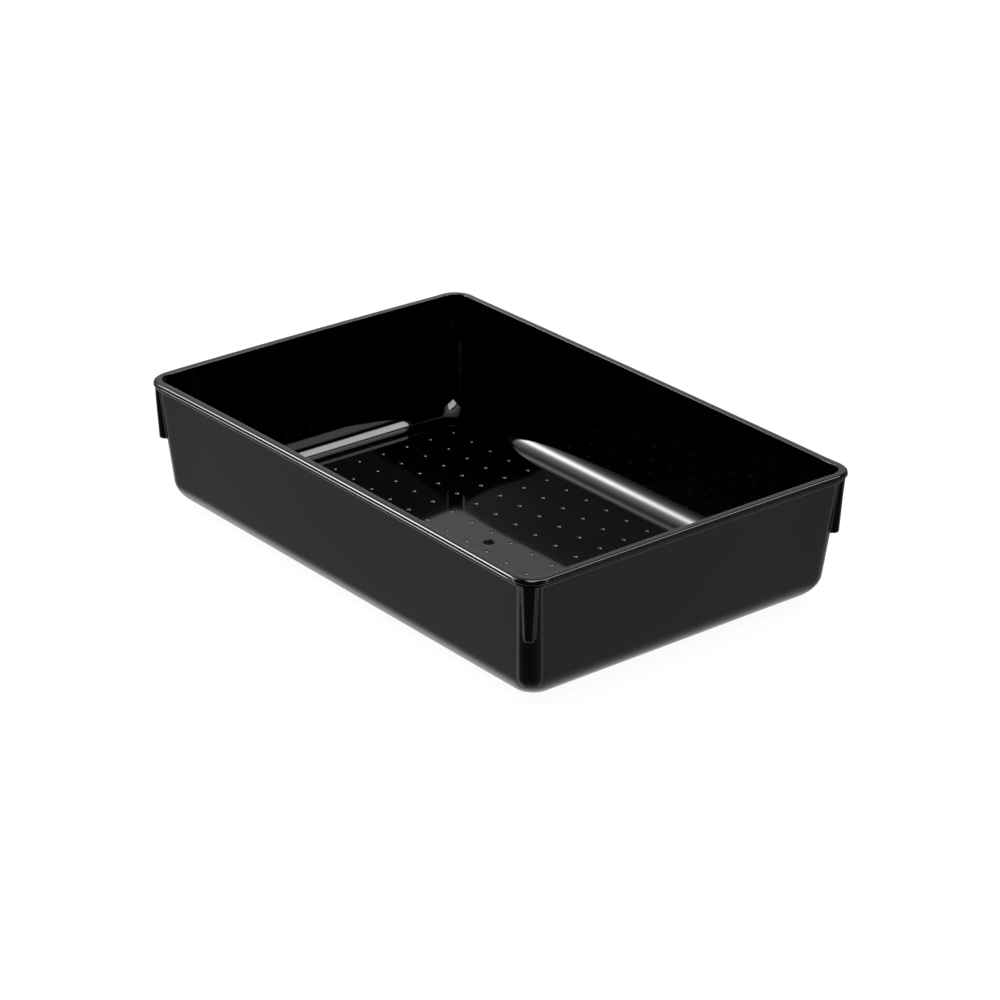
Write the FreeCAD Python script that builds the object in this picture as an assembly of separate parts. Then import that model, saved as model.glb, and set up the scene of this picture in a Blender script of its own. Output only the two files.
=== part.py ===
"""Drawer organizer insert: a one-shot moulded tray that stands on four anti-slip foot pads.

Millimetres. +Z is up, +X runs along the long side, and the origin is on the surface that the
pads stand on, under the middle of the tray.
"""
import FreeCAD, Part
import math
import os

# Overall size of the moulding
LENGTH = 228.6
WIDTH = 152.4
TRAY_HEIGHT = 50.8

# Foot pads
PAD_DIAMETER = 12.0
PAD_THICKNESS = 1.2
PAD_EDGE_RADIUS = 0.4
PAD_EDGE_DISTANCE = 28.0

# Walls and floor. Insets are measured inwards from the rim's outermost outline.
WALL_THICKNESS = 1.3
FLOOR_THICKNESS = 2.2
DRAFT_DEG = 5.1
WALL_TOP_INSET = 1.9
WALL_CORNER_RADIUS = 7.2
BASE_FILLET_RADIUS = 10.0
FLOOR_FILLET_RADIUS = 11.0

# Rim flange: a rounded bead over a narrower band
RIM_CORNER_RADIUS = 9.5
BEAD_HEIGHT = 1.95
BEAD_TOP_RADIUS = 1.0
BEAD_UNDER_RADIUS = 0.5
BAND_INSET = 1.0
FLANGE_HEIGHT = 3.7
LIP_RADIUS = 0.4

# Corner ribs, which keep nested trays from jamming. Depths are measured below the rim's top.
RIB_BOTTOM_DEPTH = 24.6
RIB_NOSE_HEIGHT = 1.6
RIB_NOSE_SETBACK = 1.3
RIB_TOP = {"outer": 0.8, "inner": 2.9, "face": 2.6, "width": 5.1}
RIB_FOOT = {"outer": 1.9, "inner": 5.3, "face": 1.8, "width": 3.6}

# Floor details
DOT_PITCH = 11.8
DOT_COLUMNS = 16
DOT_ROWS = 10
DOT_DIAMETER = 1.9
DOT_HEIGHT = 0.45
DOT_ROOT = 0.2
GATE_DIAMETER = 4.2
GATE_DEPTH = 0.8

# How finely the base fillet is lofted, and how far a cutter overshoots
FILLET_LEVELS = 7
OVERSHOOT = 2.0

BASE_Z = PAD_THICKNESS
RIM_Z = BASE_Z + TRAY_HEIGHT
FLOOR_Z = BASE_Z + FLOOR_THICKNESS
DRAFT = math.radians(DRAFT_DEG)
CORNERS = {
    "front_left": (-1, -1),
    "front_right": (1, -1),
    "back_left": (-1, 1),
    "back_right": (1, 1),
}


def outline(inset, z, radius):
    """Rounded rectangle at height z, set in from the rim's outline."""
    x = LENGTH / 2 - inset
    y = WIDTH / 2 - inset
    edges = []
    for corner, (sx, sy) in enumerate(((1, -1), (1, 1), (-1, 1), (-1, -1))):
        centre = FreeCAD.Vector(sx * (x - radius), sy * (y - radius), z)
        start = math.radians(90 * corner - 90)
        points = []
        for angle in (start, start + math.pi / 4, start + math.pi / 2):
            spoke = FreeCAD.Vector(math.cos(angle), math.sin(angle), 0)
            points.append(centre + spoke * radius)
        if edges:
            edges.append(Part.LineSegment(last, points[0]).toShape())
        else:
            first = points[0]
        edges.append(Part.Arc(*points).toShape())
        last = points[2]
    edges.append(Part.LineSegment(last, first).toShape())
    return Part.Wire(edges)


def slab(inset, radius, low, high):
    """Upright block with the outline's rounded corners."""
    face = Part.Face(outline(inset, low, radius))
    return face.extrude(FreeCAD.Vector(0, 0, high - low))


def bowl(top_inset, corner_radius, fillet_radius, bottom, top):
    """Solid with drafted sides and a rounded bottom edge. top_inset is its inset at the rim."""
    centre_z = bottom + fillet_radius
    tangent_z = centre_z - fillet_radius * math.sin(DRAFT)
    tangent_inset = top_inset + (RIM_Z - tangent_z) * math.tan(DRAFT)
    centre_inset = tangent_inset + fillet_radius * math.cos(DRAFT)
    levels = []
    for step in range(FILLET_LEVELS):
        angle = DRAFT + (math.pi / 2 - DRAFT) * step / (FILLET_LEVELS - 1)
        inset = centre_inset - fillet_radius * math.cos(angle)
        z = centre_z - fillet_radius * math.sin(angle)
        levels.append(outline(inset, z, corner_radius))
    rounded = Part.makeLoft(levels, True, False)
    rim_inset = top_inset - (top - RIM_Z) * math.tan(DRAFT)
    sides = Part.makeLoft([levels[0], outline(rim_inset, top, corner_radius)], True, True)
    return rounded.fuse(sides)


def edges_at(shape, z, inset_limits):
    """Edges that lie at height z with their middle between the two insets."""
    low, high = inset_limits
    found = []
    for edge in shape.Edges:
        box = edge.BoundBox
        if abs(box.ZMin - z) > 1e-4 or abs(box.ZMax - z) > 1e-4:
            continue
        middle = edge.valueAt((edge.FirstParameter + edge.LastParameter) / 2)
        inset = min(LENGTH / 2 - abs(middle.x), WIDTH / 2 - abs(middle.y))
        if low <= inset <= high:
            found.append(edge)
    return found


def rim_flange():
    """The bead and the band under it, both still filled in the middle."""
    bead_z = RIM_Z - BEAD_HEIGHT
    bead = slab(0, RIM_CORNER_RADIUS, bead_z, RIM_Z)
    everywhere = (0, WIDTH / 2)
    bead = bead.makeFillet(BEAD_TOP_RADIUS, edges_at(bead, RIM_Z, everywhere))
    bead = bead.makeFillet(BEAD_UNDER_RADIUS, edges_at(bead, bead_z, everywhere))
    band_radius = RIM_CORNER_RADIUS - BAND_INSET
    band = slab(BAND_INSET, band_radius, RIM_Z - FLANGE_HEIGHT, RIM_Z - BEAD_HEIGHT / 2)
    return bead.fuse(band)


def rib_section(sx, sy, sizes, z, setback):
    """Bevelled section of a corner rib at height z, across the corner's diagonal."""
    outward = FreeCAD.Vector(sx, sy, 0).normalize()
    across = FreeCAD.Vector(-sy, sx, 0).normalize()
    arc_centre = FreeCAD.Vector(
        sx * (LENGTH / 2 - RIM_CORNER_RADIUS),
        sy * (WIDTH / 2 - RIM_CORNER_RADIUS),
        z,
    )
    tip = arc_centre + outward * RIM_CORNER_RADIUS
    bevel = (sizes["width"] - sizes["face"]) / 2
    outer = sizes["outer"] + setback
    half_outline = (
        (outer, sizes["face"] / 2),
        (outer + bevel, sizes["width"] / 2),
        (sizes["inner"] + setback, sizes["width"] / 2),
    )
    points = []
    for inset, side in half_outline:
        points.append(tip - outward * inset + across * side)
    for inset, side in reversed(half_outline):
        points.append(tip - outward * inset - across * side)
    return Part.makePolygon(points + points[:1])


def corner_rib(sx, sy):
    """Rib that hangs from the flange at a corner and ends in a blunt nose."""
    bottom = RIM_Z - RIB_BOTTOM_DEPTH
    sections = [
        rib_section(sx, sy, RIB_TOP, RIM_Z - FLANGE_HEIGHT, 0),
        rib_section(sx, sy, RIB_FOOT, bottom + RIB_NOSE_HEIGHT, 0),
        rib_section(sx, sy, RIB_FOOT, bottom, RIB_NOSE_SETBACK),
    ]
    return Part.makeLoft(sections, True, True)


def floor_dots():
    """Low domes on a square grid, rooted a little way into the floor."""
    dome_radius = ((DOT_DIAMETER / 2) ** 2 + DOT_HEIGHT ** 2) / (2 * DOT_HEIGHT)
    centre_z = FLOOR_Z + DOT_HEIGHT - dome_radius
    root_latitude = math.degrees(math.asin((FLOOR_Z - DOT_ROOT - centre_z) / dome_radius))
    dots = []
    for column in range(DOT_COLUMNS):
        for row in range(DOT_ROWS):
            centre = FreeCAD.Vector(
                (column - (DOT_COLUMNS - 1) / 2) * DOT_PITCH,
                (row - (DOT_ROWS - 1) / 2) * DOT_PITCH,
                centre_z,
            )
            up = FreeCAD.Vector(0, 0, 1)
            dots.append(Part.makeSphere(dome_radius, centre, up, root_latitude, 90, 360))
    return dots


def gate_dimple():
    """Ball that leaves the shallow dish of the moulding gate in the middle of the floor."""
    radius = ((GATE_DIAMETER / 2) ** 2 + GATE_DEPTH ** 2) / (2 * GATE_DEPTH)
    return Part.makeSphere(radius, FreeCAD.Vector(0, 0, FLOOR_Z + radius - GATE_DEPTH))


def tray():
    """The whole moulding: floor, walls, rim, ribs, dots and gate mark in one solid."""
    body = bowl(WALL_TOP_INSET, WALL_CORNER_RADIUS, BASE_FILLET_RADIUS, BASE_Z, RIM_Z - 1)
    ribs = [corner_rib(sx, sy) for sx, sy in CORNERS.values()]
    body = body.fuse([rim_flange()] + ribs)
    wall_width = WALL_THICKNESS / math.cos(DRAFT)
    lip_inset = WALL_TOP_INSET + wall_width
    cavity = bowl(
        lip_inset,
        WALL_CORNER_RADIUS - WALL_THICKNESS,
        FLOOR_FILLET_RADIUS,
        FLOOR_Z,
        RIM_Z + OVERSHOOT,
    )
    body = body.cut(cavity)
    lip_edges = edges_at(body, RIM_Z, (lip_inset - 0.5, lip_inset + 3))
    body = body.makeFillet(LIP_RADIUS, lip_edges)
    body = body.cut(gate_dimple())
    body = body.fuse(floor_dots())
    return body.removeSplitter().Solids[0]


def foot_pad(sx, sy):
    """Stick-on disc under a corner of the base, with a softened lower edge."""
    centre = FreeCAD.Vector(
        sx * (LENGTH / 2 - PAD_EDGE_DISTANCE),
        sy * (WIDTH / 2 - PAD_EDGE_DISTANCE),
        0,
    )
    disc = Part.makeCylinder(PAD_DIAMETER / 2, PAD_THICKNESS, centre)
    lower_edges = [edge for edge in disc.Edges if edge.BoundBox.ZMax < PAD_THICKNESS / 2]
    return disc.makeFillet(PAD_EDGE_RADIUS, lower_edges)


def save(node, shape):
    """Write one sub-part and print what it holds."""
    shape.exportStep(os.path.join("parts", node + ".step"))
    print(node, "solids", len(shape.Solids), "valid", shape.isValid(), "mm3", round(shape.Volume))


os.makedirs("parts", exist_ok=True)
save("tray", tray())
for place, (side_x, side_y) in CORNERS.items():
    save("foot_pad_" + place, foot_pad(side_x, side_y))
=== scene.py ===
import math

import bmesh
import bpy
from mathutils import Matrix, Vector


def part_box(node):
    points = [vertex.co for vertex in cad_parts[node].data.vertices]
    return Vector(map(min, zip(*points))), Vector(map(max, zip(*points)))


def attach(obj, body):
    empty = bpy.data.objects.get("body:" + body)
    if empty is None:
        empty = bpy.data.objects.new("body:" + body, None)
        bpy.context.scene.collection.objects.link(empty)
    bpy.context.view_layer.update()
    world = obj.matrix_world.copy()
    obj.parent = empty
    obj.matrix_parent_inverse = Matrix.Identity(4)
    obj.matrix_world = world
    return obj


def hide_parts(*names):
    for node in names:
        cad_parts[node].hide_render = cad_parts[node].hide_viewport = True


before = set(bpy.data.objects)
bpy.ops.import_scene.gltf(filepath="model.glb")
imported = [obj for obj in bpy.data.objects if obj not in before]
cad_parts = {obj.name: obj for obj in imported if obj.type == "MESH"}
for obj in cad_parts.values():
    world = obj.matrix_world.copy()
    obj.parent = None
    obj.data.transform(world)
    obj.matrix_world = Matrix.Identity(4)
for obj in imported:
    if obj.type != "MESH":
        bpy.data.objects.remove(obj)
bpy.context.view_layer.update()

# Looks of the drawer organizer insert: a glossy black moulded tray on four rubber foot pads.
# Blender works in metres. Sizes named here are millimetres, and MM turns them into metres.
MM = 0.001

tray_low, tray_high = (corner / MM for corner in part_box("tray"))
HALF_LENGTH = tray_high.x
HALF_WIDTH = tray_high.y
BASE_Z = tray_low.z
RIM_Z = tray_high.z

# Walls and floor. Insets are measured inwards from the rim's outermost outline.
FLOOR_THICKNESS = 2.2
DRAFT = math.radians(5.1)
WALL_TOP_INSET = 1.9
WALL_THICKNESS = 1.3
LIP_INSET = WALL_TOP_INSET + WALL_THICKNESS / math.cos(DRAFT)
OUTER_CORNER_RADIUS = 7.2
INNER_CORNER_RADIUS = OUTER_CORNER_RADIUS - WALL_THICKNESS
BASE_FILLET_RADIUS = 10.0
FLOOR_ARC_RADIUS = 12.0
FLOOR_ARC_TURN = math.radians(62.7)
WALL_FOOT_RADIUS = 1.2
FLOOR_Z = BASE_Z + FLOOR_THICKNESS
# Borders that join the rounded sections to the flat base and to the floor lattice
BASE_BORDER = 12.0
FLOOR_BORDER = 0.9

# The moulded floor's slow unevenness, which fades out towards the walls
FLOOR_SAG = 0.25
FLOOR_LEAN = 0.005
RIPPLE_HEIGHT = 0.06
RIPPLE_REACH = (17, 14)
RIPPLE_PHASE = (0.6, -0.4)
SAG_MARGIN = 16
SAG_FADE = 30

# Rim flange. Bevel and ledge corners are (inset, depth below the rim, radius, arc steps), top first.
RIM_CORNER_RADIUS = 9.5
BAND_INSET = 1.0
BEAD_HEIGHT = 1.95
FLANGE_HEIGHT = 3.7
LIP_RADIUS = 0.4
BEAD_BEVEL = ((1.1, 0.0, 0.8, 4), (0.58, 0.19, 0.8, 4), (0.16, 0.55, 0.3, 5))
PARTING_LEDGE = ((0.13, 1.38, 0.03, 2), (0.0, 1.49, 0.03, 2))
BEAD_UNDER_RADIUS = 0.4
BAND_UNDER_RADIUS = 0.8
BAND_TOP_RADIUS = 0.15
BAND_LEAN = 0.1
FLANGE_ROOT_RADIUS = 0.2
FLAT_INSET = 2.0

# Floor dots and gate mark. The floor is a lattice with CELL_STEPS steps along each side of a dot's cell.
# A dot's rings are shares of its radius, and the gate's are (share of its radius, share of its depth).
DOT_PITCH = 11.8
DOT_COLUMNS = 16
DOT_ROWS = 10
CELL_STEPS = 4
DOT_RADIUS = 0.95
DOT_HEIGHT = 0.45
DOT_RINGS = (2.2, 1.25, 1.08, 1.0, 0.86, 0.66, 0.44, 0.22)
DOT_FOOT_LIFT = 0.012
GATE_RADIUS = 2.1
GATE_DEPTH = 0.8
GATE_SECTION = (
    (1.2, 0), (1.05, 0.05), (0.93, 0.16), (0.88, 0.24), (0.85, 0.5),
    (0.82, 0.82), (0.76, 0.93), (0.6, 0.98), (0.4, 1), (0.2, 1),
)
GATE_SIDE_STEPS = 4
FLOOR_MIDDLE = (DOT_COLUMNS * CELL_STEPS // 2, DOT_ROWS * CELL_STEPS // 2)
RING_START = math.radians(225)

# Corner ribs. Insets are from the rim's tip on the corner's diagonal, and pairs are at the rib's top and
# at its bottom. The head reaches up into the flange, and the nose tapers sideways by a share of its depth.
RIB_BOTTOM_DEPTH = 24.6
RIB_TIP_INSET = (0.8, 1.9)
RIB_ROOT_RADIUS = 1.0
RIB_ROOT_DEPTH = 0.6
RIB_ROOT_OVERLAP = 0.1
RIB_HEAD = 0.6
RIB_WIDTH = (5.1, 3.6)
RIB_EDGE_RADIUS = 1.1
RIB_NOSE_RADIUS = 0.9
RIB_NOSE_TAPER = 0.6
RIB_STEPS = 8
ROOT_STEPS = 6
NOSE_STEPS = 5

# Mesh density round the corners and along the walls
CORNER_STEPS = 12
WALL_STEPS = 8

# Foot pads
PAD_EDGE_RADIUS = 0.4
PAD_TOP_RADIUS = 0.1
PAD_GROOVES = (1.6, 3.0, 4.4)
PAD_GROOVE_WIDTH = 0.6
PAD_GROOVE_DEPTH = 0.2
PAD_GROOVE_RADIUS = 0.06
PAD_TURNS = 72

# Plastic finish. ROUGHNESS is that of the clean gloss, and the next three are what marks add to it.
PLASTIC_IOR = 1.5
GLOSS = 0.5
ROUGHNESS = 0.05
SMUDGE_ROUGHNESS = 0.05
SCRATCH_ROUGHNESS = 0.22
DUST_ROUGHNESS = 0.5
WAVE_HEIGHT = 0.05
PEEL_HEIGHT = 0.0006
GRAIN_HEIGHT = 0.02
# The matt scar in the gate: where it begins and is full, and how it changes the gloss
SCAR_RADIUS = (1.95, 1.8)
SCAR_ROUGHNESS = 0.5
SCAR_GLOSS_LOSS = 0.42

# Rubber finish
RUBBER_IOR = 1.52
PIT_HEIGHT = 0.03

# Studio. Azimuth 0 is the front and 90 the right, and angles are in degrees.
TABLE_RADIANCE = 0.06
ROOM_RADIANCE = 0.002
# Glows are (azimuth, elevation, spread, radiance)
TABLE_GLOWS = (
    (-95, -30, 40, 0.29),
    (155, -30, 33, 0.28),
    (-129, -66, 27, 0.8),
    (-84, -43, 9, 0.5),
)
ROOM_GLOWS = (
    (-132, 22, 24, 0.64),
    (-65.5, 38.5, 4.4, 18.0),
    (-64, 43, 13, 3.2),
    (-128, 4, 7, 1.3),
)
# Panels are (azimuth, elevation, inner, outer, radiance)
PANELS = ((131, 33, 7.0, 14.0, 1.1),)
# Strips are (azimuth, half width, radiance). High ones stand in the room, low ones on the table.
HIGH_STRIPS = ((-33, 4.0, 25.0), (118, 4.0, 7.0))
LOW_STRIPS = ((-35, 8.0, 0.75), (116, 6.0, 0.42))
# A strip is dark at the first share of its half width and full at the second, and only on its own side
STRIP_SOFTNESS = (1.4, 0.6)
STRIP_SIDE = (0.3, 0.5)
# Sines of the elevations between which a high strip, the table's light and the room's light come in
STRIP_TOP = (0.72, 0.60)
TABLE_EDGE = (-0.24, -0.38)
HORIZON = (-0.01, 0.01)
# Overhead softbox: its middle, and how far from it the light is full and ends, in ceiling heights
CEILING_X = (0.152, 0.17, 0.27)
CEILING_Y = (0.30, 0.57, 0.68)
CEILING_RADIANCE = 8.0
# How much of the light a second mirroring leaves, and the most light that a matt face gets
SECOND_BOUNCE = 0.42
MATT_LIMIT = 0.8
# Lamps are (name, azimuth, elevation, radiance), and their sizes are in metres
LAMPS = (("left_lamp", -57, 44, 4.0), ("back_lamp", 168, 56, 4.0))
LAMP_SIZE = 0.9
LAMP_DISTANCE = 1.5
# The pale floor reaches this far out, reflects a little and glows with the rest
FLOOR_REACH = 9000
FLOOR_GREY = 0.11
FLOOR_GLOW = 0.955

# Camera: lens and sensor in millimetres, as the rest is, and angles in degrees
LENS = 121.29
SENSOR_WIDTH = 36
CAMERA_AIM = (13.6, -6.0, 27.0)
CAMERA_DISTANCE = 1237.1
CAMERA_AZIMUTH = 50.645
CAMERA_ELEVATION = 24.545
CAMERA_ROLL = 0.638

# Edges that turn more than this are shaded as creases
SHARP_ANGLE = math.radians(40)

# Moulding warp: how far the rims pull in and arch up, and how far the front of the rim drops.
# The short rims' arch is that of the left end, then of the right end.
LONG_RIM_PULL = 0.4
LONG_RIM_ARCH = 0.75
RIM_DROP = 0.4
SHORT_RIM_PULL = 0.6
SHORT_RIM_ARCH = (0.8, -0.2)
# Corners that spring out: (x side, y side, outwards at the rim, outwards below it, droop of the rim)
CORNER_SPRING = ((1, 1, 1.0, 0.7, 0.0), (-1, -1, 0.3, 0.5, 0.2), (-1, 1, 0.7, 0.3, 0.0))
# How far along the sides a corner springs at the rim and below it, and how deep the rim's part goes
SPRING_REACH = (16.0, 30.0)
SPRING_DEPTH = 9.0


class Skin:
    """Points and faces of a surface under construction, in millimetres."""

    def __init__(self):
        self.points = []
        self.faces = []

    def add(self, x, y, z):
        """New point. Gives its index."""
        self.points.append((x, y, z))
        return len(self.points) - 1

    def face(self, *corners):
        """Face through these points, with neighbours that are the same point counted once."""
        loop = [c for i, c in enumerate(corners) if c != corners[i - 1]]
        if len(loop) > 2:
            self.faces.append(loop)

    def band(self, ring, next_ring):
        """Faces between two closed rings of equal length."""
        for i in range(len(ring)):
            j = (i + 1) % len(ring)
            self.face(ring[i], ring[j], next_ring[j], next_ring[i])

    def to_object(self, name):
        """Object in metres, with all faces turned outwards."""
        mesh = bpy.data.meshes.new(name)
        mesh.from_pydata([Vector(p) * MM for p in self.points], [], self.faces)
        shape = bmesh.new()
        shape.from_mesh(mesh)
        bmesh.ops.recalc_face_normals(shape, faces=shape.faces)
        shape.to_mesh(mesh)
        shape.free()
        piece = bpy.data.objects.new(name, mesh)
        bpy.context.scene.collection.objects.link(piece)
        return piece


def rounded_path(corners):
    """Polyline through (u, v, radius, arc steps, steps to the next corner), with round corners."""
    flat = [Vector(c[:2]) for c in corners]
    path = [flat[0]]
    for i in range(1, len(flat)):
        if i == len(flat) - 1:
            arc = [flat[i]]
        else:
            arc = corner_arc(flat[i - 1], flat[i], flat[i + 1], corners[i][2], corners[i][3])
        steps = corners[i - 1][4]
        start = path[-1]
        for k in range(1, steps):
            path.append(start.lerp(arc[0], k / steps))
        path.extend(arc)
    return path


def corner_arc(before, corner, after, radius, steps):
    """Points of the arc that is tangent to both sides of a corner."""
    back = (before - corner).normalized()
    on = (after - corner).normalized()
    half_angle = back.angle(on) / 2
    centre = corner + (back + on).normalized() * (radius / math.sin(half_angle))
    start = corner + back * (radius / math.tan(half_angle)) - centre
    end = corner + on * (radius / math.tan(half_angle)) - centre
    sweep = start.angle(end)
    points = []
    for k in range(steps + 1):
        t = k / steps
        spoke = start * math.sin((1 - t) * sweep) + end * math.sin(t * sweep)
        points.append(centre + spoke / math.sin(sweep))
    return points


def plan_ring(inset, z, least_radius):
    """Points round the tray at one level, and the floor lattice place of each."""
    radius = max(RIM_CORNER_RADIUS - inset, least_radius)
    far_x = HALF_LENGTH - inset - radius
    far_y = HALF_WIDTH - inset - radius
    across = DOT_COLUMNS * CELL_STEPS
    along = DOT_ROWS * CELL_STEPS
    sides = (
        ((-1, -1), (1, -1), across),
        ((1, -1), (1, 1), along),
        ((1, 1), (-1, 1), across),
        ((-1, 1), (-1, -1), along),
    )
    points = []
    places = []
    for number, (start, end, steps) in enumerate(sides):
        outward = math.radians(90 * number - 90)
        for k in range(steps + 1):
            at = Vector(start).lerp(Vector(end), k / steps)
            x = at.x * far_x + radius * math.cos(outward)
            y = at.y * far_y + radius * math.sin(outward)
            points.append((x, y, z))
            places.append((round((at.x + 1) / 2 * across), round((at.y + 1) / 2 * along)))
        for k in range(1, CORNER_STEPS):
            angle = outward + math.pi / 2 * k / CORNER_STEPS
            x = end[0] * far_x + radius * math.cos(angle)
            y = end[1] * far_y + radius * math.sin(angle)
            points.append((x, y, z))
            places.append(places[-1])
    return points, places


def lattice_xy(i, j):
    """Where a point of the floor lattice lies."""
    step = DOT_PITCH / CELL_STEPS
    return (i - DOT_COLUMNS * CELL_STEPS / 2) * step, (j - DOT_ROWS * CELL_STEPS / 2) * step


def smooth(t):
    """Ramp from 0 to 1 with level ends."""
    t = min(max(t, 0), 1)
    return t * t * (3 - 2 * t)


def floor_sag(x, y):
    """Slow unevenness of the moulded floor, none at its edges."""
    edge_x = smooth((HALF_LENGTH - SAG_MARGIN - abs(x)) / SAG_FADE)
    edge_y = smooth((HALF_WIDTH - SAG_MARGIN - abs(y)) / SAG_FADE)
    wave_x = math.sin(x / RIPPLE_REACH[0] + RIPPLE_PHASE[0])
    wave_y = math.cos(y / RIPPLE_REACH[1] + RIPPLE_PHASE[1])
    lean = FLOOR_LEAN * (y - x)
    return edge_x * edge_y * (RIPPLE_HEIGHT * wave_x * wave_y + lean - FLOOR_SAG)


def floor_z(x, y):
    """Height of the floor between its dots."""
    return FLOOR_Z + floor_sag(x, y)


def lattice(skin, i, j, z, made):
    """Index of a floor lattice point, made when first asked for."""
    if (i, j) not in made:
        x, y = lattice_xy(i, j)
        made[i, j] = skin.add(x, y, z(x, y))
    return made[i, j]


def dot_height(share):
    """Height of a floor dot at a share of its radius from its centre. Its foot is slightly raised."""
    if share > 1:
        return 0
    if share == 1:
        return DOT_FOOT_LIFT
    ball = (DOT_RADIUS ** 2 + DOT_HEIGHT ** 2) / (2 * DOT_HEIGHT)
    return DOT_HEIGHT - ball + math.sqrt(ball ** 2 - (share * DOT_RADIUS) ** 2)


def floor_cell(skin, column, row, made):
    """One square of the floor, with its dot grown out of the middle."""
    i, j = column * CELL_STEPS, row * CELL_STEPS
    outer = []
    for step_i, step_j in ((1, 0), (0, 1), (-1, 0), (0, -1)):
        for _ in range(CELL_STEPS):
            place = gate_square_place(column, row) if (i, j) == FLOOR_MIDDLE else (i, j)
            outer.append(lattice(skin, *place, floor_z, made))
            i += step_i
            j += step_j
    cx, cy = lattice_xy((column + 0.5) * CELL_STEPS, (row + 0.5) * CELL_STEPS)
    turn = 2 * math.pi / len(outer)
    for share in DOT_RINGS:
        reach = share * DOT_RADIUS
        ring = []
        for k in range(len(outer)):
            angle = RING_START + turn * k
            x = cx + reach * math.cos(angle)
            y = cy + reach * math.sin(angle)
            ring.append(skin.add(x, y, floor_z(x, y) + dot_height(share)))
        skin.band(outer, ring)
        outer = ring
    top = skin.add(cx, cy, floor_z(cx, cy) + DOT_HEIGHT)
    for k in range(len(outer)):
        skin.face(outer[k], outer[(k + 1) % len(outer)], top)


def gate_square_place(column, row):
    """Where a cell beside the gate has its inner corner instead: at a corner of the gate's square."""
    step_i = -1 if column < DOT_COLUMNS // 2 else 1
    step_j = -1 if row < DOT_ROWS // 2 else 1
    return FLOOR_MIDDLE[0] + step_i, FLOOR_MIDDLE[1] + step_j


def gate_mark(skin, made):
    """Shallow dish in the middle of the floor, where the gate was."""
    mid_i, mid_j = FLOOR_MIDDLE
    around = ((-1, -1), (0, -1), (1, -1), (1, 0), (1, 1), (0, 1), (-1, 1), (-1, 0))
    square = [lattice(skin, mid_i + i, mid_j + j, floor_z, made) for i, j in around]
    count = len(square) * GATE_SIDE_STEPS
    rings = []
    for share, deep in GATE_SECTION:
        reach = share * GATE_RADIUS
        drop = GATE_DEPTH * deep
        ring = []
        for k in range(count):
            angle = RING_START + 2 * math.pi * k / count
            x = reach * math.cos(angle)
            y = reach * math.sin(angle)
            ring.append(skin.add(x, y, floor_z(x, y) - drop))
        rings.append(ring)
    first = rings[0]
    for k in range(len(square)):
        arc = [first[(k * GATE_SIDE_STEPS + m) % count] for m in range(GATE_SIDE_STEPS + 1)]
        skin.face(square[k], square[(k + 1) % len(square)], *reversed(arc))
    for ring, next_ring in zip(rings, rings[1:]):
        skin.band(ring, next_ring)
    bottom = skin.add(0, 0, floor_z(0, 0) - GATE_DEPTH)
    for k in range(count):
        skin.face(rings[-1][k], rings[-1][(k + 1) % count], bottom)


def floor_fillet():
    """Section from the inner wall down to the floor: a tight turn at the wall's foot, then a wide arc.
    It is worked out from the floor up, as (inset, height) from where the flat floor ends."""
    x, z = 0.0, 0.0
    points = [(x, z)]
    arcs = (
        (FLOOR_ARC_RADIUS, 0, FLOOR_ARC_TURN, 14),
        (WALL_FOOT_RADIUS, FLOOR_ARC_TURN, math.pi / 2 - DRAFT, 3),
    )
    for radius, first, last, steps in arcs:
        for k in range(1, steps + 1):
            angle = first + (last - first) * k / steps
            points.append((
                x - radius * (math.sin(angle) - math.sin(first)),
                z + radius * (math.cos(first) - math.cos(angle)),
            ))
        x, z = points[-1]
    foot = LIP_INSET + (RIM_Z - FLOOR_Z - z) * math.tan(DRAFT)
    return [(foot - x + px, FLOOR_Z + pz) for px, pz in reversed(points)]


def wall_path():
    """Section of the moulding from the edge of the flat base, over the rim, to the floor."""
    depth = (RIM_Z - BASE_Z) * math.tan(DRAFT)
    flange_z = RIM_Z - FLANGE_HEIGHT
    flange_inset = WALL_TOP_INSET + FLANGE_HEIGHT * math.tan(DRAFT)
    bead_z = RIM_Z - BEAD_HEIGHT
    bead = []
    for inset, drop, radius, steps in reversed(BEAD_BEVEL + PARTING_LEDGE):
        bead.append((inset, RIM_Z - drop, radius, steps, 1))
    outer = rounded_path([
        (WALL_TOP_INSET + depth + BASE_BORDER, BASE_Z, 0, 0, 1),
        (WALL_TOP_INSET + depth, BASE_Z, BASE_FILLET_RADIUS, 14, WALL_STEPS),
        (flange_inset, flange_z, FLANGE_ROOT_RADIUS, 3, 1),
        (BAND_INSET - BAND_LEAN, flange_z, BAND_UNDER_RADIUS, 8, 1),
        (BAND_INSET, bead_z, BAND_TOP_RADIUS, 3, 1),
        (0, bead_z, BEAD_UNDER_RADIUS, 7, 1),
        *bead,
        (FLAT_INSET, RIM_Z, 0, 0, 0),
    ])
    fillet = floor_fillet()
    border = (fillet[-1][0] + FLOOR_BORDER, FLOOR_Z)
    inner = rounded_path([
        (FLAT_INSET, RIM_Z, 0, 0, 1),
        (LIP_INSET, RIM_Z, LIP_RADIUS, 6, WALL_STEPS),
        (*fillet[0], 0, 0, 0),
    ])
    return outer, inner + [Vector(point) for point in fillet[1:] + [border]]


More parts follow.
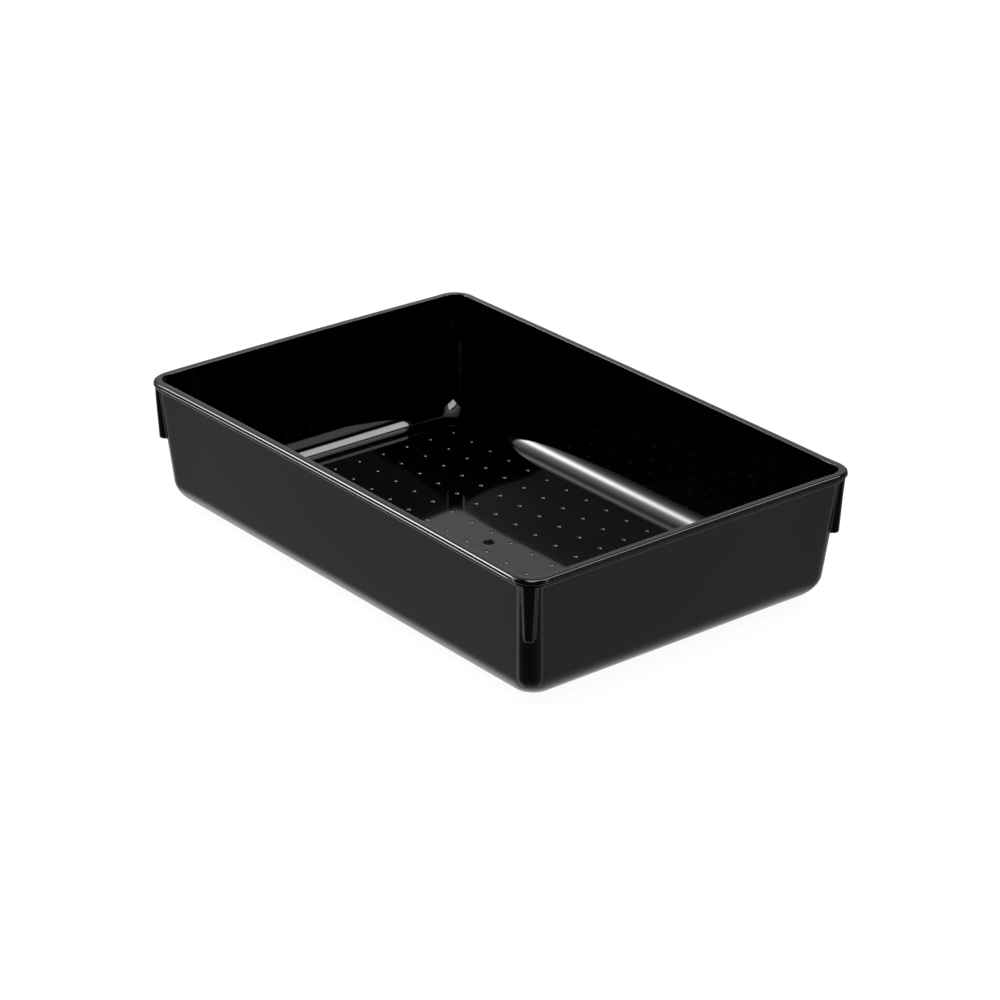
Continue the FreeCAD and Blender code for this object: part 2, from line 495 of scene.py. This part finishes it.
def moulding():
    """The tray without its ribs, as one closed skin."""
    skin = Skin()
    outer, inner = wall_path()
    rings = []
    levels = [(point, OUTER_CORNER_RADIUS) for point in outer]
    levels += [(point, INNER_CORNER_RADIUS) for point in inner[1:]]
    for (inset, z), least_radius in levels:
        points, places = plan_ring(inset, z, least_radius)
        rings.append([skin.add(*p) for p in points])
    for ring, next_ring in zip(rings, rings[1:]):
        skin.band(ring, next_ring)
    floor_made = {}
    for column in range(DOT_COLUMNS):
        for row in range(DOT_ROWS):
            floor_cell(skin, column, row, floor_made)
    gate_mark(skin, floor_made)
    skin.band(rings[-1], [floor_made[place] for place in places])
    base_made = {}
    for i in range(DOT_COLUMNS * CELL_STEPS):
        for j in range(DOT_ROWS * CELL_STEPS):
            square = ((i, j), (i + 1, j), (i + 1, j + 1), (i, j + 1))
            skin.face(*(lattice(skin, a, b, lambda x, y: BASE_Z, base_made) for a, b in square))
    skin.band(rings[0], [base_made[place] for place in places])
    return skin.to_object("tray_moulding")


def rib_section(depth, setback, shrink):
    """Outline of a corner rib at a depth below the rim: (distance in from the rim's tip, side)."""
    t = (depth - FLANGE_HEIGHT) / (RIB_BOTTOM_DEPTH - FLANGE_HEIGHT)
    outer = RIB_TIP_INSET[0] + (RIB_TIP_INSET[1] - RIB_TIP_INSET[0]) * t + setback
    half = (RIB_WIDTH[0] + (RIB_WIDTH[1] - RIB_WIDTH[0]) * t) / 2 - shrink
    root = Vector((wall_inset(depth, half), half))
    foot = half + RIB_ROOT_RADIUS
    side = rounded_path([
        (outer, 0, 0, 0, 2),
        (outer, half, RIB_EDGE_RADIUS, 6, 2),
        (root.x - RIB_ROOT_RADIUS, half, 0, 0, 0),
    ])
    start = side[-1]
    end = Vector((wall_inset(depth, foot) + RIB_ROOT_OVERLAP, foot))
    for k in range(1, ROOT_STEPS + 1):
        share = k / ROOT_STEPS
        side.append(start.lerp(root, share).lerp(root.lerp(end, share), share))
    side.append(end + Vector((RIB_ROOT_DEPTH, 0)))
    return [(p.x, p.y) for p in side] + [(p.x, -p.y) for p in reversed(side[1:])]


def wall_inset(depth, side):
    """Distance from the rim's tip in to the wall's outer face, a side step away from the diagonal."""
    inset = WALL_TOP_INSET + depth * math.tan(DRAFT)
    middle = math.sqrt(2) * inset - (math.sqrt(2) - 1) * (RIM_CORNER_RADIUS - OUTER_CORNER_RADIUS)
    return middle + OUTER_CORNER_RADIUS - math.sqrt(OUTER_CORNER_RADIUS ** 2 - side ** 2)


def corner_rib(sx, sy):
    """Rib that hangs from the flange at a corner and ends in a blunt nose."""
    skin = Skin()
    outward = Vector((sx, sy)).normalized()
    across = Vector((-sy, sx)).normalized()
    middle = Vector((sx * (HALF_LENGTH - RIM_CORNER_RADIUS), sy * (HALF_WIDTH - RIM_CORNER_RADIUS)))
    tip = middle + outward * RIM_CORNER_RADIUS
    levels = [(FLANGE_HEIGHT - RIB_HEAD, 0), (FLANGE_HEIGHT, 0)]
    straight = RIB_BOTTOM_DEPTH - RIB_NOSE_RADIUS
    for k in range(1, RIB_STEPS + 1):
        levels.append((FLANGE_HEIGHT + (straight - FLANGE_HEIGHT) * k / RIB_STEPS, 0))
    for k in range(1, NOSE_STEPS + 1):
        angle = math.pi / 2 * k / NOSE_STEPS
        drop = RIB_NOSE_RADIUS * math.sin(angle)
        levels.append((straight + drop, RIB_NOSE_RADIUS * (1 - math.cos(angle))))
    rings = []
    for depth, setback in levels:
        ring = []
        for inset, side in rib_section(depth, setback, setback * RIB_NOSE_TAPER):
            at = tip - outward * inset + across * side
            ring.append(skin.add(at.x, at.y, RIM_Z - depth))
        rings.append(ring)
    for ring, next_ring in zip(rings, rings[1:]):
        skin.band(ring, next_ring)
    skin.face(*rings[0])
    skin.face(*rings[-1])
    return skin.to_object("rib")


def unite(piece, others):
    """One closed mesh out of a piece and the solids that grow from it."""
    for other in others:
        union = piece.modifiers.new("union", "BOOLEAN")
        union.operation = "UNION"
        union.solver = "EXACT"
        union.object = other
    apply_modifiers(piece)
    for other in others:
        bpy.data.objects.remove(other)


def apply_modifiers(piece):
    """Puts the result of a piece's modifiers in its mesh."""
    bpy.context.view_layer.update()
    evaluated = piece.evaluated_get(bpy.context.evaluated_depsgraph_get())
    mesh = bpy.data.meshes.new_from_object(evaluated)
    piece.modifiers.clear()
    piece.data = mesh


def warp(piece):
    """Pulls the middle of each rim in and up a little and springs the corners out, as cooling does."""
    diagonal = math.sqrt(0.5)
    for vertex in piece.data.vertices:
        x, y, z = vertex.co / MM
        share_x = 1 - min((x / HALF_LENGTH) ** 2, 1)
        share_y = 1 - min((y / HALF_WIDTH) ** 2, 1)
        height = smooth((z - BASE_Z) / (RIM_Z - BASE_Z))
        pull_y = y / HALF_WIDTH * LONG_RIM_PULL * share_x * height
        pull_x = x / HALF_LENGTH * SHORT_RIM_PULL * share_y * height
        arch = LONG_RIM_ARCH * share_x * (y / HALF_WIDTH) ** 2
        arch += SHORT_RIM_ARCH[x > 0] * share_y * (x / HALF_LENGTH) ** 2
        arch -= RIM_DROP * (1 - y / HALF_WIDTH) / 2
        deep = smooth((RIM_Z - z) / SPRING_DEPTH)
        for side_x, side_y, at_rim, below, droop in CORNER_SPRING:
            distance = math.hypot(HALF_LENGTH - side_x * x, HALF_WIDTH - side_y * y)
            rim_share = smooth(1 - distance / SPRING_REACH[0]) * (1 - deep)
            low_share = smooth(1 - distance / SPRING_REACH[1]) * deep
            outwards = at_rim * rim_share + below * low_share
            pull_x -= side_x * outwards * diagonal
            pull_y -= side_y * outwards * diagonal
            arch -= droop * rim_share
        vertex.co = Vector((x - pull_x, y - pull_y, z + arch * height)) * MM


def polish_shading(piece):
    """Smooth shading that keeps flats flat beside their fillets."""
    piece.data.shade_smooth()
    piece.data.set_sharp_from_angle(angle=SHARP_ANGLE)
    weighted = piece.modifiers.new("flat_faces_lead", "WEIGHTED_NORMAL")
    weighted.mode = "FACE_AREA"
    weighted.weight = 50
    weighted.keep_sharp = True


def tray():
    """The moulding with its four ribs grown on."""
    piece = moulding()
    unite(piece, [corner_rib(sx, sy) for sx in (-1, 1) for sy in (-1, 1)])
    warp(piece)
    polish_shading(piece)
    return piece


def lathe(name, section, centre, turns):
    """Closed solid of revolution through (radius, z) points that start and end on the axis."""
    skin = Skin()
    rings = []
    for radius, z in section[1:-1]:
        ring = []
        for k in range(turns):
            angle = 2 * math.pi * k / turns
            x = centre.x + radius * math.cos(angle)
            y = centre.y + radius * math.sin(angle)
            ring.append(skin.add(x, y, z))
        rings.append(ring)
    for ring, next_ring in zip(rings, rings[1:]):
        skin.band(ring, next_ring)
    for ring, z in ((rings[0], section[0][1]), (rings[-1], section[-1][1])):
        pole = skin.add(centre.x, centre.y, z)
        for k in range(turns):
            skin.face(ring[k], ring[(k + 1) % turns], pole)
    return skin.to_object(name)


def foot_pad(node):
    """Rubber pad with a rounded rim and shallow grip grooves on the side that touches the table."""
    low, high = (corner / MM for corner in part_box(node))
    centre = (low + high) / 2
    radius = (high.x - low.x) / 2
    corners = [(0, low.z, 0, 0, 2)]
    groove_corners = ((-1 / 2, 0), (-1 / 4, PAD_GROOVE_DEPTH), (1 / 4, PAD_GROOVE_DEPTH), (1 / 2, 0))
    for groove in PAD_GROOVES:
        for aside, deep in groove_corners:
            corners.append((groove + aside * PAD_GROOVE_WIDTH, low.z + deep, PAD_GROOVE_RADIUS, 3, 1))
    corners += [
        (radius, low.z, PAD_EDGE_RADIUS, 8, 1),
        (radius, high.z, PAD_TOP_RADIUS, 3, 3),
        (0, high.z, 0, 0, 0),
    ]
    section = [(p.x, p.y) for p in rounded_path(corners)]
    piece = lathe(node.replace("foot_pad", "rubber_pad"), section, centre, PAD_TURNS)
    polish_shading(piece)
    return piece


class Nodes:
    """A material's or world's shader nodes, wired up by short calls."""

    def __init__(self, owner):
        owner.use_nodes = True
        self.tree = owner.node_tree
        self.tree.nodes.clear()

    def add(self, kind, inputs=None, **settings):
        """New node. Inputs are set to numbers, or linked where the value is another node's output."""
        node = self.tree.nodes.new("ShaderNode" + kind)
        for key, value in settings.items():
            setattr(node, key, value)
        for key, value in (inputs or {}).items():
            if isinstance(value, bpy.types.NodeSocket):
                self.tree.links.new(value, node.inputs[key])
            else:
                node.inputs[key].default_value = value
        return node

    def math(self, operation, first, second=0.0, clamp=False):
        """Result of one operation on one or two values."""
        return self.add("Math", {0: first, 1: second}, operation=operation, use_clamp=clamp).outputs[0]

    def total(self, values):
        """Sum of several values."""
        whole = values[0]
        for value in values[1:]:
            whole = self.math("ADD", value, whole)
        return whole

    def dot(self, first, second):
        """Dot product of two vectors."""
        return self.add("VectorMath", {0: first, 1: second}, operation="DOT_PRODUCT").outputs["Value"]

    def noise(self, where, scale, detail=2.0, roughness=0.5, distortion=0.0):
        """Cloudy noise about 0.5."""
        values = {
            "Vector": where,
            "Scale": scale,
            "Detail": detail,
            "Roughness": roughness,
            "Distortion": distortion,
        }
        return self.add("TexNoise", values).outputs["Fac"]

    def ramp(self, value, low, high, to_low=0.0, to_high=1.0):
        """Value between low and high, spread smoothly over to_low to to_high."""
        values = {
            "Value": value,
            "From Min": low,
            "From Max": high,
            "To Min": to_low,
            "To Max": to_high,
        }
        return self.add("MapRange", values, interpolation_type="SMOOTHSTEP").outputs["Result"]

    def mix_colour(self, share, first, second):
        """First colour at share 0, second colour at share 1."""
        node = self.add("Mix", data_type="RGBA")
        for key, value in (("Factor_Float", share), ("A_Color", first), ("B_Color", second)):
            socket = next(s for s in node.inputs if s.identifier == key)
            if isinstance(value, bpy.types.NodeSocket):
                self.tree.links.new(value, socket)
            else:
                socket.default_value = value
        return next(s for s in node.outputs if s.identifier == "Result_Color")

    def bump(self, height, distance, strength=1.0, under=None):
        """Normal of a surface that a height pushes out, on top of another bump where there is one."""
        values = {"Strength": strength, "Distance": distance * MM, "Height": height}
        if under is not None:
            values["Normal"] = under
        return self.add("Bump", values).outputs[0]


def specks(nodes, where, scale, size, share):
    """Small round grains: 1 inside a grain, 0 elsewhere. Only a share of the cells hold one."""
    cells = nodes.add("TexVoronoi", {"Vector": where, "Scale": scale, "Randomness": 1.0})
    lot = nodes.add("SeparateColor", {0: cells.outputs["Color"]}).outputs[0]
    chosen = nodes.math("LESS_THAN", lot, share)
    inside = nodes.ramp(cells.outputs["Distance"], size, size * 0.4)
    return nodes.math("MULTIPLY", chosen, inside)


def hairlines(nodes, where, turn, scale, share):
    """Fine straight scratches that lie one way and fade out along their length."""
    stretch = (scale, scale * 22, scale * 3)
    along = nodes.add("Mapping", {"Vector": where, "Scale": stretch, "Rotation": turn}).outputs[0]
    streak = nodes.noise(along, 1.0, 1.0)
    gaps = nodes.noise(where, 31.0, 2.0)
    thin = nodes.ramp(streak, 1 - share, 1 - share * 0.55)
    return nodes.math("MULTIPLY", thin, nodes.ramp(gaps, 0.56, 0.66))


def tray_plastic():
    """Glossy black polystyrene: moulding waviness, faint smudges, hairline scratches and dust."""
    material = bpy.data.materials.new("tray_plastic")
    nodes = Nodes(material)
    where = nodes.add("TexCoord").outputs["Object"]
    flow = nodes.noise(where, 26.0, 3.0, 0.55, 0.6)
    smudge = nodes.ramp(nodes.noise(where, 62.0, 5.0, 0.62, 1.4), 0.52, 0.78)
    scratch_a = hairlines(nodes, where, (0.0, 0.0, 0.5), 90.0, 0.235)
    scratch_b = hairlines(nodes, where, (0.3, 0.2, 2.1), 120.0, 0.235)
    scratches = nodes.math("MAXIMUM", scratch_a, scratch_b)
    coarse_dust = specks(nodes, where, 260.0, 0.055, 0.06)
    fine_dust = specks(nodes, where, 640.0, 0.07, 0.04)
    dust = nodes.math("MAXIMUM", coarse_dust, fine_dust)

    parts = nodes.add("SeparateXYZ", {0: where}).outputs
    flat = nodes.add("CombineXYZ", {0: parts["X"], 1: parts["Y"]}).outputs[0]
    from_gate = nodes.add("VectorMath", {0: flat}, operation="LENGTH").outputs["Value"]
    scar = nodes.ramp(from_gate, SCAR_RADIUS[0] * MM, SCAR_RADIUS[1] * MM)

    black = nodes.mix_colour(flow, (0.0004, 0.0004, 0.0005, 1), (0.0010, 0.0010, 0.0011, 1))
    worn = nodes.mix_colour(scratches, black, (0.005, 0.005, 0.005, 1))
    colour = nodes.mix_colour(dust, worn, (0.06, 0.058, 0.055, 1))

    rough = ROUGHNESS
    for mark, added in (
        (smudge, SMUDGE_ROUGHNESS),
        (scratches, SCRATCH_ROUGHNESS),
        (scar, SCAR_ROUGHNESS),
        (dust, DUST_ROUGHNESS),
    ):
        rough = nodes.math("ADD", rough, nodes.math("MULTIPLY", mark, added), clamp=True)
    gloss = nodes.math("SUBTRACT", GLOSS, nodes.math("MULTIPLY", scar, SCAR_GLOSS_LOSS))

    waved = nodes.bump(nodes.noise(where, 21.0, 1.0, 0.4), WAVE_HEIGHT)
    peeled = nodes.bump(nodes.noise(where, 900.0, 2.0, 0.5), PEEL_HEIGHT, under=waved)
    grain = nodes.math("SUBTRACT", dust, scratches)
    surface = nodes.bump(grain, GRAIN_HEIGHT, 0.5, under=peeled)
    shader = nodes.add("BsdfPrincipled", {
        "Base Color": colour,
        "Roughness": rough,
        "Normal": surface,
        "IOR": PLASTIC_IOR,
        "Specular IOR Level": gloss,
    })
    nodes.add("OutputMaterial", {"Surface": shader.outputs[0]})
    return material


def pad_rubber():
    """Matt black rubber: mottled, finely pitted and a little dusty."""
    material = bpy.data.materials.new("pad_rubber")
    nodes = Nodes(material)
    where = nodes.add("TexCoord").outputs["Object"]
    mottle = nodes.noise(where, 420.0, 5.0, 0.6)
    pits = nodes.noise(where, 2600.0, 3.0, 0.7)
    dust = specks(nodes, where, 900.0, 0.1, 0.2)
    rubber = nodes.mix_colour(mottle, (0.010, 0.010, 0.011, 1), (0.026, 0.026, 0.027, 1))
    colour = nodes.mix_colour(dust, rubber, (0.13, 0.125, 0.12, 1))
    rough = nodes.ramp(mottle, 0.3, 0.7, 0.62, 0.84)
    shader = nodes.add("BsdfPrincipled", {
        "Base Color": colour,
        "Roughness": rough,
        "Normal": nodes.bump(pits, PIT_HEIGHT, 0.7),
        "IOR": RUBBER_IOR,
    })
    nodes.add("OutputMaterial", {"Surface": shader.outputs[0]})
    return material


def direction(azimuth, elevation):
    """Unit vector towards an azimuth, 0 at the front and positive to the right, and an elevation."""
    a, e = math.radians(azimuth), math.radians(elevation)
    return Vector((math.sin(a) * math.cos(e), -math.cos(a) * math.cos(e), math.sin(e)))


def soft_lamp(name, azimuth, elevation, radiance):
    """Large square lamp for matt light and soft shadows. What the gloss mirrors is in studio_world."""
    data = bpy.data.lights.new(name, "AREA")
    data.shape = "SQUARE"
    data.size = LAMP_SIZE
    data.energy = radiance * math.pi * LAMP_SIZE * LAMP_SIZE
    lamp = bpy.data.objects.new(name, data)
    lamp.location = direction(azimuth, elevation) * LAMP_DISTANCE
    lamp.rotation_euler = direction(azimuth, elevation).to_track_quat("Z", "Y").to_euler()
    lamp.visible_glossy = False
    bpy.context.scene.collection.objects.link(lamp)


def glow(nodes, towards, azimuth, elevation, spread, radiance):
    """Light that fades with the angle from one direction; spread is that of a bell curve, in degrees."""
    facing = nodes.dot(towards, direction(azimuth, elevation))
    lobe = nodes.math("POWER", nodes.math("MAXIMUM", facing, 0.0), 1 / math.radians(spread) ** 2)
    return nodes.math("MULTIPLY", lobe, radiance)


def disc(nodes, towards, azimuth, elevation, inner, outer, radiance):
    """Evenly lit round panel about one direction, with a soft edge between two angles in degrees."""
    facing = nodes.dot(towards, direction(azimuth, elevation))
    edge = math.cos(math.radians(outer))
    full = math.cos(math.radians(inner))
    return nodes.ramp(facing, edge, full, 0.0, radiance)


def strip(nodes, towards, azimuth, half_width, radiance):
    """Upright light strip at one azimuth, as a plane of light on that side only."""
    aside = nodes.math("ABSOLUTE", nodes.dot(towards, direction(azimuth + 90, 0)))
    ahead = nodes.dot(towards, direction(azimuth, 0))
    width = math.sin(math.radians(half_width))
    across = nodes.ramp(aside, width * STRIP_SOFTNESS[0], width * STRIP_SOFTNESS[1])
    front = nodes.ramp(ahead, *STRIP_SIDE, 0.0, radiance)
    return nodes.math("MULTIPLY", across, front)


def ceiling_span(nodes, part, height, span):
    """1 where a direction meets the ceiling within a span, fading to 0 over its soft edge."""
    middle, full, end = span
    place = nodes.math("SUBTRACT", nodes.math("DIVIDE", part, height), middle)
    return nodes.ramp(nodes.math("ABSOLUTE", place), end, full)


def table_light(nodes, towards):
    """Grey of the table, with its brighter places and the strips that stand on it."""
    glows = [glow(nodes, towards, *place) for place in TABLE_GLOWS]
    strips = [strip(nodes, towards, *place) for place in LOW_STRIPS]
    return nodes.total([TABLE_RADIANCE] + glows + strips)


def room_light(nodes, towards):
    """Dark room with glows, a panel, upright strips and a softbox on the ceiling."""
    parts = nodes.add("SeparateXYZ", {0: towards}).outputs
    glows = [glow(nodes, towards, *place) for place in ROOM_GLOWS]
    panels = [disc(nodes, towards, *place) for place in PANELS]
    low_part = nodes.ramp(parts["Z"], *STRIP_TOP)
    strips = [nodes.math("MULTIPLY", strip(nodes, towards, *place), low_part) for place in HIGH_STRIPS]
    ceiling = nodes.math("MAXIMUM", parts["Z"], 0.01)
    box_x = ceiling_span(nodes, parts["X"], ceiling, CEILING_X)
    box_y = ceiling_span(nodes, parts["Y"], ceiling, CEILING_Y)
    softbox = nodes.math("MULTIPLY", nodes.math("MULTIPLY", box_x, box_y), CEILING_RADIANCE)
    return nodes.total([ROOM_RADIANCE] + glows + panels + strips + [softbox])


def studio_world():
    """What the glossy plastic mirrors: the room above the horizon and the table's grey below it."""
    world = bpy.data.worlds.new("studio")
    bpy.context.scene.world = world
    nodes = Nodes(world)
    towards = nodes.add("TexCoord").outputs["Generated"]
    height = nodes.add("SeparateXYZ", {0: towards}).outputs["Z"]
    table = nodes.math("MULTIPLY", nodes.ramp(height, *TABLE_EDGE), table_light(nodes, towards))
    room = nodes.math("MULTIPLY", nodes.ramp(height, *HORIZON), room_light(nodes, towards))
    light = nodes.math("ADD", table, room)
    rays = nodes.add("LightPath").outputs
    dim = nodes.math("MINIMUM", light, MATT_LIMIT)
    twice = nodes.math("GREATER_THAN", rays["Glossy Depth"], 1.5)
    faded = nodes.math("MULTIPLY", light, nodes.ramp(twice, 0.0, 1.0, 1.0, SECOND_BOUNCE))
    mirrored = nodes.mix_colour(rays["Is Glossy Ray"], dim, faded)
    colour = nodes.mix_colour(rays["Is Camera Ray"], mirrored, (1, 1, 1, 1))
    background = nodes.add("Background", {"Color": colour, "Strength": 1.0})
    nodes.add("OutputWorld", {"Surface": background.outputs[0]})


def studio_floor():
    """Plain pale floor. The glossy tray reflects the world's grey instead of it."""
    skin = Skin()
    square = ((-1, -1), (1, -1), (1, 1), (-1, 1))
    skin.face(*(skin.add(x * FLOOR_REACH, y * FLOOR_REACH, 0) for x, y in square))
    floor = skin.to_object("studio_floor")
    floor.visible_glossy = False
    material = bpy.data.materials.new("pale_floor")
    nodes = Nodes(material)
    matt = nodes.add("BsdfDiffuse", {"Color": (FLOOR_GREY, FLOOR_GREY, FLOOR_GREY, 1)})
    lit = nodes.add("Emission", {"Color": (1, 1, 1, 1), "Strength": FLOOR_GLOW})
    both = nodes.add("AddShader", {0: matt.outputs[0], 1: lit.outputs[0]})
    nodes.add("OutputMaterial", {"Surface": both.outputs[0]})
    floor.data.materials.append(material)


def camera():
    """Long lens that looks down into the tray over its front right corner."""
    data = bpy.data.cameras.new("camera")
    data.lens = LENS
    data.sensor_width = SENSOR_WIDTH
    data.dof.use_dof = False
    eye = bpy.data.objects.new("camera", data)
    back = direction(CAMERA_AZIMUTH, CAMERA_ELEVATION)
    level = back.to_track_quat("Z", "Y").to_matrix()
    turn = (level @ Matrix.Rotation(math.radians(CAMERA_ROLL), 3, "Z")).to_4x4()
    eye.matrix_world = Matrix.Translation((Vector(CAMERA_AIM) + back * CAMERA_DISTANCE) * MM) @ turn
    bpy.context.scene.collection.objects.link(eye)
    bpy.context.scene.camera = eye


def finish_piece(piece, material, node):
    """Material and body of a piece that stands for a CAD node, whose own CAD part is hidden."""
    piece.data.materials.clear()
    piece.data.materials.append(material)
    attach(piece, "root")
    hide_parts(node)


camera()
studio_world()
studio_floor()
for lamp in LAMPS:
    soft_lamp(*lamp)

tray_piece = tray()
finish_piece(tray_piece, tray_plastic(), "tray")

rubber = pad_rubber()
for pad_node in sorted(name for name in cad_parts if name.startswith("foot_pad")):
    finish_piece(foot_pad(pad_node), rubber, pad_node)

bpy.context.scene.view_settings.view_transform = "Standard"
